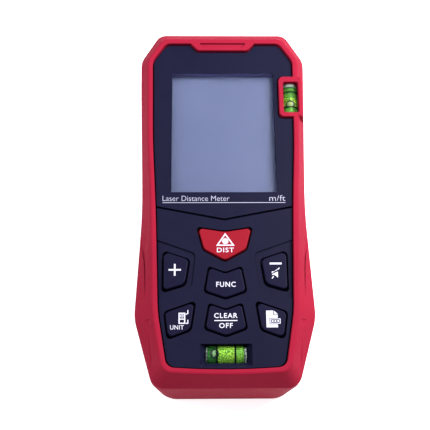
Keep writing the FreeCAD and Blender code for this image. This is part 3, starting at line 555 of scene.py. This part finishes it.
def print_memory_key():
    """Page with a turned corner and a tag on it."""
    page = [(11.92, -42.26), (15.3, -42.26), (15.3, -41.35), (12.85, -41.35), (12.85, -39.4),
            (15.3, -39.4), (15.3, -38.6), (14.0, -38.6), (14.0, -37.2), (11.92, -37.2)]
    corner = [(14.22, -38.38), (15.4, -38.38), (14.22, -37.2)]
    tag = frame_ring(13.05, -41.15, 16.1, -39.6, 0.24)
    dots = [bar(x, -40.62, x + 0.5, -40.12) for x in (13.52, 14.32, 15.12)]
    printed_shapes("memory_sign", [page, corner] + dots, KEY_TOP_Z, "memory_key", [tag])


def add_print():
    print_panel()
    print_measure_key()
    print_plus_key()
    print_minus_key()
    print_function_key()
    print_clear_key()
    print_unit_key()
    print_memory_key()


# ---- display window, in millimetres ----
WINDOW = (-16.5, 0.8, 16.5, 42.7)
WINDOW_ROUND = 0.2
HAIR = 0.02                             # a gap or an overlap too small to see
SHEET = 0.12                            # thickness of the clear sheet
SHEET_TOP = PANEL_Z / MM - HAIR         # its upper face lies just under the border's
WALL = 0.05                             # how far the window's far wall stands into the window
WALL_LOW = 24.6
WALL_DROP = 0.22                        # it stops this far below the border's upper face
CUT_LOW, CUT_HEIGHT = 20.0, 12.0        # the cutter goes right through the lens


def add_border():
    """Printed border: the lens with its window cut out."""
    def build(bm):
        bm.from_mesh(NODES["display_lens"].data)
        bmesh.ops.remove_doubles(bm, verts=bm.verts, dist=1e-7)
    border = linked("lens_border", made_mesh("lens_border", build))
    cutter = flat_block("window_cutter", bar(*WINDOW), CUT_LOW, CUT_HEIGHT)
    cut = border.modifiers.new("cut", "BOOLEAN")
    cut.operation = "DIFFERENCE"
    cut.solver = "EXACT"
    cut.object = cutter
    result = evaluated_mesh(border)
    border.modifiers.clear()
    border.data = result
    bpy.data.objects.remove(cutter)
    dressed(border, "case", NAVY)
    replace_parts(border, "display_lens")


def add_window():
    """Clear sheet of the window and the wall at its far side."""
    window = flat_block("lens_window", rounded(*WINDOW, WINDOW_ROUND), SHEET_TOP - SHEET, SHEET)
    dressed(window, "case", CLEAR)
    x0, _, x1, y1 = WINDOW
    wall = bar(x0 + HAIR, y1 - WALL, x1 - HAIR, y1 + HAIR)
    wall_top = PANEL_Z / MM - WALL_DROP

    def build(bm):
        plate(bm, in_mm(wall), WALL_LOW * MM, (wall_top - WALL_LOW) * MM)
    add_piece("window_edge", build, "case", DISPLAY_EDGE)


# ---- turned pieces ----
SHARP = math.radians(35)                # edges that turn more than this stay crisp


def turned(name, profile, centre, axis, body, material, count=64):
    """Solid of revolution; the profile is (along, radius) in millimetres and starts and ends on the axis
    unless it is a closed ring."""
    to_axis = Vector((0, 0, 1)).rotation_difference(Vector(axis)).to_matrix().to_4x4()
    closed = profile[0] == profile[-1]
    rows = profile[:-1] if closed else profile

    def ring(bm, along, radius):
        if radius == 0:
            return [bm.verts.new((0, 0, along * MM))]
        return [bm.verts.new((radius * MM * math.cos(a), radius * MM * math.sin(a), along * MM))
                for a in turn_angles(count)]

    def build(bm):
        rings = [ring(bm, along, radius) for along, radius in rows]
        for one, following in zip(rings, rings[1:] + (rings[:1] if closed else [])):
            bridge(bm, one, following)
        faces_outwards(bm)
        bmesh.ops.transform(bm, matrix=Matrix.Translation(centre) @ to_axis, verts=bm.verts)
    piece = smooth(add_piece(name, build, body, material))
    piece.data.set_sharp_from_angle(angle=SHARP)
    return piece


def rod(start, stop, radius, edge):
    """Profile of a round bar; the edge lists (in from the end, down from the radius) round its rims."""
    near = [(start + inward, radius - down) for inward, down in edge]
    far = [(stop - inward, radius - down) for inward, down in reversed(edge)]
    return [(start, 0)] + near + far + [(stop, 0)]


# ---- spirit vials, in millimetres ----
VIAL_R = 2.9
VIAL_HALF = 6.0
GLASS_ROUND = 0.25
BORE = 2.81
LIQUID_R = 2.76                         # the round glass makes the liquid look as thick as the vial
LIQUID_EDGE = ((0.0, 0.3), (0.1, 0.08), (0.3, 0.0))
PLUG_EDGE = ((0.0, 0.3), (0.2, 0.06))
PLUG_GAP = 0.05
MARK_AT = 2.7
MARK_HALF = 0.25
MARK_IN, MARK_OUT = VIAL_R - 0.05, VIAL_R + 0.03
BUBBLE_ALONG = 1.3
BUBBLE_ACROSS = 1.65
# each ring of the rim and of the air: its share of the bubble's half sizes and its height above the liquid
RIM_SHARES, RIM_RISES = (0.66, 0.74, 0.90, 1.0), (0.0, 0.035, 0.035, 0.0)
AIR_SHARES, AIR_RISES = (0.66, 0.5, 0.3, 0.05), (0.01, 0.03, 0.036, 0.04)


def add_vial(name, axis, fluid, ends, air, plug_finish):
    """Glass, plugs, coloured liquid and bubble of one vial in place of the plain solids.

    The ends are where the liquid starts and stops along the vial, in millimetres from its middle."""
    centre = middle(name + "_tube")
    start, stop = ends
    add_vial_glass(name, centre, axis)
    profile = rod(start, stop, LIQUID_R, LIQUID_EDGE)
    liquid = turned(name + "_fluid", profile, centre, axis, "case", fluid)
    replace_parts(liquid, name + "_liquid")
    near = rod(-VIAL_HALF, start - PLUG_GAP, LIQUID_R, PLUG_EDGE)
    far = rod(stop + PLUG_GAP, VIAL_HALF, LIQUID_R, PLUG_EDGE)
    add_vial_plug(name, "near", near, centre, axis, plug_finish)
    add_vial_plug(name, "far", far, centre, axis, plug_finish)
    add_vial_mark(name, "near", -MARK_AT, centre, axis)
    add_vial_mark(name, "far", MARK_AT, centre, axis)
    add_bubble(name, centre, axis, air)


def add_vial_glass(name, centre, axis):
    reach, shoulder = VIAL_HALF, VIAL_HALF - GLASS_ROUND
    profile = [(-reach, BORE), (-reach, VIAL_R - GLASS_ROUND), (-shoulder, VIAL_R), (shoulder, VIAL_R),
               (reach, VIAL_R - GLASS_ROUND), (reach, BORE), (-reach, BORE)]
    glass = turned(name + "_glass", profile, centre, axis, "case", VIAL_GLASS)
    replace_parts(glass, name + "_tube")


def add_vial_plug(name, side, profile, centre, axis, finish):
    plug = turned(f"{name}_{side}_plug", profile, centre, axis, "case", finish)
    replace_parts(plug, name + "_plugs")


def add_vial_mark(name, side, at, centre, axis):
    """Black ring round the glass."""
    first, last = at - MARK_HALF, at + MARK_HALF
    profile = [(first, MARK_IN), (first, MARK_OUT), (last, MARK_OUT), (last, MARK_IN), (first, MARK_IN)]
    mark = turned(f"{name}_{side}_mark", profile, centre, axis, "case", MARK)
    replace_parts(mark, name + "_marks")


def add_bubble(name, centre, axis, air):
    """Flat lens-shaped bubble that follows the curve of the bore, with a ring of painted shade at its edge.
    """
    node = name + "_bubble"
    along = Vector(axis)
    across = Vector((0, 0, 1)).cross(along)
    offset = (middle(node) - centre).dot(along)

    def point(share, angle, rise):
        length = BUBBLE_ALONG * share * math.cos(angle)
        turn = BUBBLE_ACROSS * share * math.sin(angle) / LIQUID_R
        radius = (LIQUID_R + rise) * MM
        return (centre + along * (offset + length * MM) + across * (radius * math.sin(turn))
                + Vector((0, 0, radius * math.cos(turn))))

    def cap(bm, shares, rises, count=40):
        rings = [[bm.verts.new(point(share, angle, rise)) for angle in turn_angles(count)]
                 for share, rise in zip(shares, rises)]
        for one, following in zip(rings, rings[1:]):
            bridge(bm, one, following)
        return rings

    def build_shade_rim(bm):
        rings = cap(bm, RIM_SHARES, RIM_RISES)
        bridge(bm, rings[-1], rings[0])
        faces_outwards(bm)

    def build_air(bm):
        rings = cap(bm, AIR_SHARES, AIR_RISES)
        bm.faces.new(rings[-1])
        bm.faces.new(list(reversed(rings[0])))
        faces_outwards(bm)
    smooth(add_piece(name + "_bubble_rim_shade", build_shade_rim, node, PAINTED_RIM_SHADE))
    inside = smooth(add_piece(name + "_bubble_air", build_air, node, air))
    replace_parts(inside, node)


# ---- power, in millimetres ----
COIL_R = 2.6
COIL_END_R = 1.9
WIRE_R = 0.35
COIL_TURNS = 4
COIL_STEPS = 40 * COIL_TURNS
WIRE_SIDES = 10
CELL_R = 5.15
CELL_ROUND = 0.25                       # how far the sleeve is turned in over the can's ends
SLEEVE_ROUND = 0.6
FLAT_R = 3.9                            # raised flat of the negative end
FLAT_SLOPE = 0.2
SHOULDER_R = 3.0
NUB_R = 1.9
NUB_HEIGHT = 1.2
NUB_EDGE = (0.2, 0.25)                  # in from the nub's end, down from its radius
FOOT_R = 2.7                            # foot of the nub, on the can's end
FOOT = 0.2


def add_coil(name, x, z, start, stop):
    """Tapering coil spring along Y; it is widest at its start."""
    inset = math.copysign(WIRE_R * MM, stop - start)
    first, last = start + inset, stop - inset

    def wire_ring(bm, share):
        angle = 2 * math.pi * COIL_TURNS * share
        radius = (COIL_R + (COIL_END_R - COIL_R) * share) * MM
        out = Vector((math.cos(angle), 0, math.sin(angle)))
        centre = Vector((x, first + (last - first) * share, z)) + out * radius
        return [bm.verts.new(centre + WIRE_R * MM * (out * math.cos(a) + Vector((0, math.sin(a), 0))))
                for a in turn_angles(WIRE_SIDES)]

    def build(bm):
        rings = [wire_ring(bm, i / COIL_STEPS) for i in range(COIL_STEPS + 1)]
        for one, following in zip(rings, rings[1:]):
            bridge(bm, one, following)
        bm.faces.new(rings[0])
        bm.faces.new(rings[-1])
        faces_outwards(bm)
    coil = smooth(add_piece(name, build, "case", STEEL))
    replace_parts(coil, "battery_springs")


def add_springs():
    left, right = middle("battery_cell_left"), middle("battery_cell_right")
    add_coil("left_spring", left.x, left.z, high("battery_bridge")[1], low("battery_cell_left")[1])
    add_coil("right_spring", right.x, right.z, low("battery_terminals")[1], high("battery_cell_right")[1])


def add_cell(node, nub_side):
    """Dry cell: a sleeved can with turned-in ends and a positive nub."""
    centre = middle(node)
    axis = (0, nub_side, 0)
    half = (high(node)[1] - low(node)[1]) / 2 / MM
    shoulder = half - NUB_HEIGHT
    can_low, can_high = -half + CELL_ROUND, shoulder - CELL_ROUND
    sleeve = [(-half, 0), (-half, FLAT_R), (can_low, FLAT_R + FLAT_SLOPE), (can_low, CELL_R - CELL_ROUND),
              (-half + SLEEVE_ROUND, CELL_R), (shoulder - SLEEVE_ROUND, CELL_R),
              (can_high, CELL_R - CELL_ROUND), (can_high, SHOULDER_R), (can_high, 0)]
    inward, down = NUB_EDGE
    nub = [(shoulder - FOOT, 0), (shoulder - FOOT, FOOT_R), (shoulder, FOOT_R - FOOT), (shoulder, NUB_R),
           (half - inward, NUB_R), (half, NUB_R - down), (half, 0)]
    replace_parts(turned(node + "_sleeve", sleeve, centre, axis, "case", CELL_CAN), node)
    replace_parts(turned(node + "_nub", nub, centre, axis, "case", STEEL), node)


# ---- tripod thread, in millimetres ----
THREAD_PITCH = 1.27
THREAD_MINOR = 2.55
THREAD_MAJOR = 3.175
THREAD_STEEP = 1.25                     # more than one leaves a flat at the major diameter
INSERT_ROOF = 0.8
THREAD_SIDES = 64
THREAD_ROWS = 72


def add_tripod_thread():
    """Brass insert with a helical thread, open at the back."""
    node = "tripod_insert"
    centre, lowest, highest = middle(node), low(node)[2], high(node)[2]
    outer_r = (high(node)[0] - low(node)[0]) / 2
    bore_depth = highest - INSERT_ROOF * MM - lowest

    def thread_radius(angle, z):
        phase = ((z - lowest) / MM / THREAD_PITCH - angle / (2 * math.pi)) % 1.0
        rise = min(1.0, abs(2 * phase - 1) * THREAD_STEEP)
        return (THREAD_MINOR + (THREAD_MAJOR - THREAD_MINOR) * rise) * MM

    def ring(bm, z, radius_at):
        points = [(radius_at(angle, z), angle) for angle in turn_angles(THREAD_SIDES)]
        return [bm.verts.new((centre.x + r * math.cos(a), centre.y + r * math.sin(a), z)) for r, a in points]

    def build(bm):
        rings = [ring(bm, z, lambda angle, z: outer_r) for z in (highest, lowest)]
        heights = [lowest + bore_depth * i / THREAD_ROWS for i in range(THREAD_ROWS + 1)]
        rings += [ring(bm, z, thread_radius) for z in heights]
        for one, following in zip(rings, rings[1:]):
            bridge(bm, one, following)
        bm.faces.new(rings[0])
        bm.faces.new(rings[-1])
        faces_outwards(bm)
    insert = add_piece("tripod_thread", build, "case", BRASS)
    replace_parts(insert, node)


# ---- camera, light and floor ----
LENS = 74.3
TARGET = Vector((-2.92, -6.80, 27.0)) * MM
DISTANCE = 273.2 * MM
TILT, YAW, ROLL = math.radians(20.56), math.radians(-1.19), math.radians(-0.52)
LIT_POINT = Vector((0, 0, 0.015))


def add_camera():
    camera = linked("camera", bpy.data.cameras.new("camera"))
    turn = Matrix.Rotation(YAW, 3, "Y") @ Matrix.Rotation(TILT, 3, "X") @ Matrix.Rotation(ROLL, 3, "Z")
    camera.location = TARGET + turn @ Vector((0, 0, DISTANCE))
    camera.rotation_euler = turn.to_euler()
    camera.data.lens = LENS
    camera.data.sensor_width = 36.0
    camera.data.clip_start = 0.01
    bpy.context.scene.camera = camera
    bpy.context.scene.view_settings.view_transform = "Standard"


def add_light(name, place, size, power, colour):
    """Square soft light that faces the object."""
    lamp = bpy.data.lights.new(name, "AREA")
    lamp.energy = power
    lamp.color = colour
    lamp.size = size
    light = linked(name, lamp)
    light.location = place
    light.rotation_euler = (LIT_POINT - Vector(place)).to_track_quat("-Z", "Y").to_euler()


def add_world():
    world = bpy.data.worlds.new("studio")
    bpy.context.scene.world = world
    world.use_nodes = True
    background = world.node_tree.nodes["Background"]
    background.inputs["Color"].default_value = (0.90, 0.93, 1.0, 1.0)
    background.inputs["Strength"].default_value = 0.42


def add_floor():
    """Evenly glowing pale sheet under the object."""
    def build(bm):
        bmesh.ops.create_grid(bm, x_segments=8, y_segments=8, size=1.6)
    floor = linked("floor", made_mesh("floor", build))
    paint(floor, moulded(
        "light_table", (0.86, 0.86, 0.87), (0.89, 0.89, 0.90),
        rough=0.9, grain=400.0, depth=0.02, Emission_Color=(1.0, 1.0, 1.0, 1.0), Emission_Strength=0.68))


paint_frame()
add_border()
add_window()
add_print()
# the bottom vial takes the painted-shade copies of the air and the plugs
add_vial("bottom_vial", (1, 0, 0), BOTTOM_LIQUID, (-5.4, 5.2), SHADED_AIR, SHADED_PLUG)
add_vial("side_vial", (0, 1, 0), SIDE_LIQUID, (-5.1, 4.7), PALE_AIR, PLUG)
add_springs()
add_cell("battery_cell_left", 1)
add_cell("battery_cell_right", -1)
add_tripod_thread()
add_camera()
add_world()
add_light("key", (0.185, 0.11, 0.26), size=0.20, power=2.45, colour=(1.0, 0.98, 0.98))
add_light("fill", (-0.26, 0.06, 0.30), size=0.30, power=1.2, colour=(0.93, 0.94, 1.0))
add_floor()
